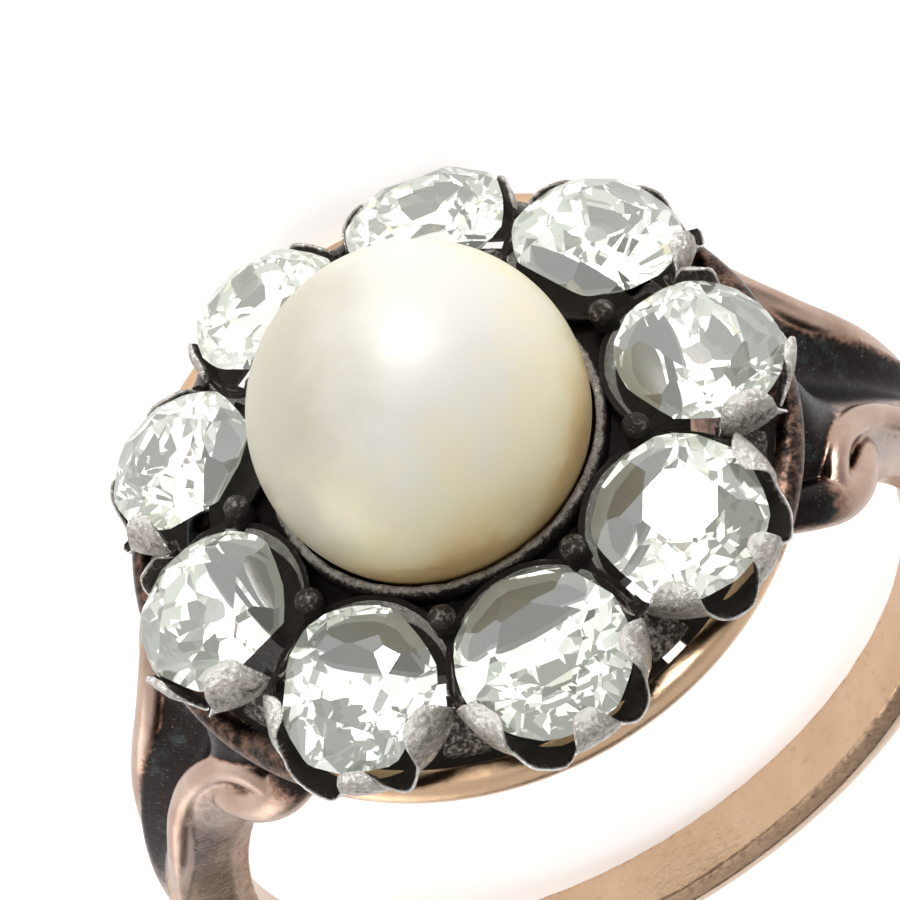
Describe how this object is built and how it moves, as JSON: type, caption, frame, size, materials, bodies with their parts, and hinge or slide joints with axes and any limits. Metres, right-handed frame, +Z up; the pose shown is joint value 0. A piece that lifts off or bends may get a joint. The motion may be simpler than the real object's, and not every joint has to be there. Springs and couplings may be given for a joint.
{
  "type": "cluster ring",
  "caption": "Finger ring with a large pearl inside a ring of round old-cut diamonds, on a gold band with scroll shoulders.",
  "frame": {"origin": "on the surface the ring lies on, under the middle of its outline", "axes": "+Y from the cluster to the back of the band, +Z up from the surface, X across the hoop"},
  "size_m": [0.021, 0.025, 0.015],
  "materials": {
    "gold": "worn rose gold, polished, dark in the carving",
    "silver": "oxidised silver, bright where worn",
    "pearl": "cream pearl with a soft lustre",
    "diamond": "clear, facetted"
  },
  "bodies": {
    "root": {"shank": "gold", "setting": "silver", "pearl": "pearl", "diamond_1": "diamond", "diamond_2": "diamond", "diamond_3": "diamond", "diamond_4": "diamond", "diamond_5": "diamond", "diamond_6": "diamond", "diamond_7": "diamond", "diamond_8": "diamond", "diamond_9": "diamond"}
  },
  "joints": []
}
